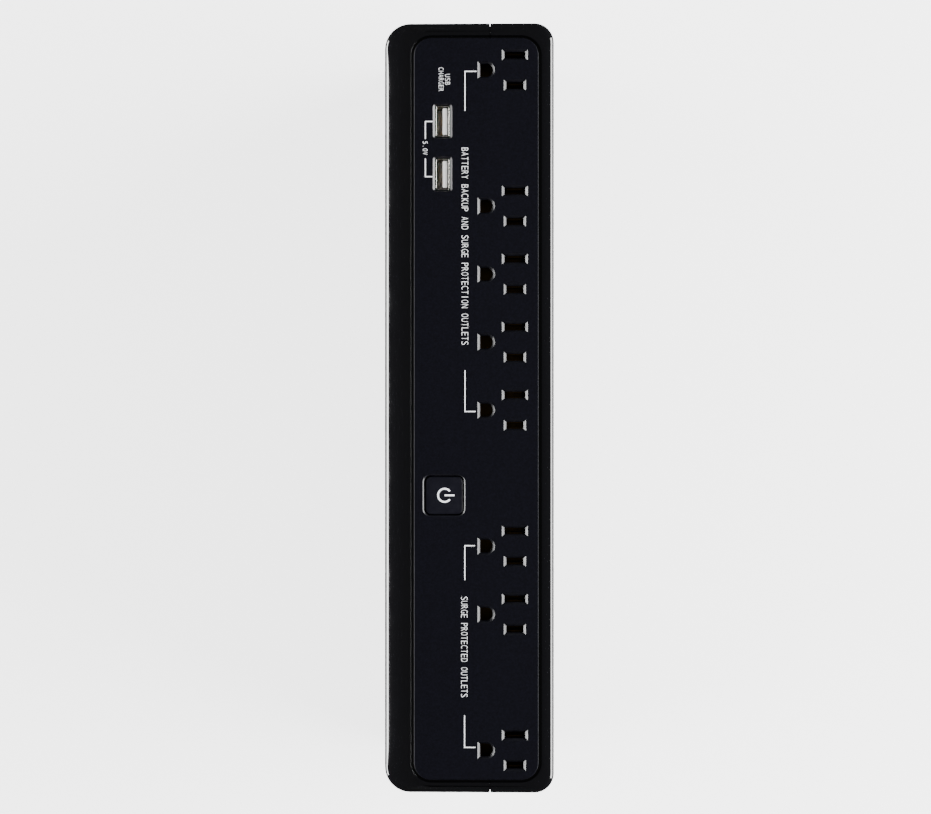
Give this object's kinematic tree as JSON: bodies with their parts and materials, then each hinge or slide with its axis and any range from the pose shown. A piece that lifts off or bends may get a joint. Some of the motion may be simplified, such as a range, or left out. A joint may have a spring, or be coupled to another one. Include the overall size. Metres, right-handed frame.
{
  "type": "uninterruptible power supply",
  "caption": "Slim gloss-black battery back-up unit with a matt outlet plate along its top, paired charging ports, a sprung power button and a pull-off battery door.",
  "frame": {"origin": "on the ground, under the middle of the housing", "axes": "+Z out of the outlet face, +Y along the length towards the end with the charging ports, +X towards the outlets' blade slots"},
  "size_m": [0.071, 0.3234, 0.134],
  "materials": {
    "gloss_black_housing": "moulded with a polished, high-gloss finish",
    "matt_black_plate": "moulded with a fine spark-eroded texture",
    "satin_black_button": "moulded, satin, with a printed white power symbol",
    "outlet_block_black": "moulded, flame-retardant, matt",
    "component_black": "moulded epoxy or polyamide, matt",
    "switch_grey": "moulded, satin",
    "usb_tongue_white": "moulded, satin white",
    "breaker_white": "moulded, satin white",
    "battery_grey": "moulded, matt dark grey",
    "circuit_board_green": "glass-epoxy laminate with solder mask",
    "capacitor_sleeve": "shrunk plastic sleeve",
    "varistor_blue": "dipped lacquer",
    "choke_green": "powder-coated ferrite ring, wound",
    "winding_tape": "polyester tape over copper windings",
    "lead_red": "extruded PVC, red",
    "lead_black": "extruded PVC, black",
    "fuse_glass": "glass tube with metal caps",
    "led_green": "tinted clear lens",
    "black_rubber": "moulded, matt",
    "contact_brass": "stamped strip, bright",
    "usb_nickel": "stamped steel, nickel plated",
    "tinned_tab": "tin plated",
    "zinc_plate": "zinc plated steel",
    "heatsink_aluminium": "extruded, natural",
    "core_steel": "stacked silicon-steel laminations, varnished"
  },
  "bodies": {
    "housing": {"alarm_buzzer": "component_black", "backup_earth_bus": "contact_brass", "backup_line_bus": "contact_brass", "backup_neutral_bus": "contact_brass", "backup_outlet_block": "outlet_block_black", "battery_case": "battery_grey", "battery_connector_black": "lead_black", "battery_connector_red": "lead_red", "battery_lead_black": "lead_black", "battery_lead_red": "lead_red", "battery_tab_black": "tinned_tab", "battery_tab_red": "tinned_tab", "breaker_body": "component_black", "breaker_nut": "zinc_plate", "button_board": "circuit_board_green", "cord_gland": "black_rubber", "face_plate": "matt_black_plate", "filter_capacitor_1": "capacitor_sleeve", "filter_capacitor_2": "capacitor_sleeve", "foot_left_head": "black_rubber", "foot_left_tail": "black_rubber", "foot_right_head": "black_rubber", "foot_right_tail": "black_rubber", "heatsink": "heatsink_aluminium", "housing_screw_1": "zinc_plate", "housing_screw_2": "zinc_plate", "housing_screw_3": "zinc_plate", "housing_screw_4": "zinc_plate", "housing_screw_5": "zinc_plate", "housing_screw_6": "zinc_plate", "left_shell": "gloss_black_housing", "line_choke": "choke_green", "line_fuse": "fuse_glass", "main_circuit_board": "circuit_board_green", "power_led": "led_green", "power_switch_body": "component_black", "power_transistor_1": "component_black", "power_transistor_2": "component_black", "right_shell": "gloss_black_housing", "surge_earth_bus": "contact_brass", "surge_line_bus": "contact_brass", "surge_neutral_bus": "contact_brass", "surge_outlet_block": "outlet_block_black", "surge_varistor_1": "varistor_blue", "surge_varistor_2": "varistor_blue", "transfer_relay_1": "component_black", "transfer_relay_2": "component_black", "transformer_core": "core_steel", "transformer_strap": "zinc_plate", "transformer_winding": "winding_tape", "usb_charger_board": "circuit_board_green", "usb_shell_1": "usb_nickel", "usb_shell_2": "usb_nickel", "usb_tongue_1": "usb_tongue_white", "usb_tongue_2": "usb_tongue_white"},
    "power_button": {"power_button": "satin_black_button"},
    "switch_plunger": {"power_switch_plunger": "switch_grey"},
    "battery_door": {"battery_door": "gloss_black_housing", "door_screw": "zinc_plate"},
    "breaker_button": {"breaker_reset_button": "breaker_white"}
  },
  "joints": [
    {"name": "power_button_press", "type": "slide", "parent": "housing", "child": "power_button", "axis": [0, 0, -1], "range_m": [0, 0.0012], "stiffness_N_per_m": 900},
    {"name": "switch_plunger_press", "type": "slide", "parent": "housing", "child": "switch_plunger", "axis": [0, 0, -1], "range_m": [0, 0.0012], "stiffness_N_per_m": 100},
    {"name": "breaker_reset", "type": "slide", "parent": "housing", "child": "breaker_button", "axis": [0, -1, 0], "range_m": [0, 0.004]},
    {"name": "battery_door_pull", "type": "slide", "parent": "housing", "child": "battery_door", "axis": [-1, 0, 0], "range_m": [0, 0.03]}
  ],
  "couplings": [
    {"joint": "switch_plunger_press", "follows": "power_button_press", "ratio": 1}
  ]
}
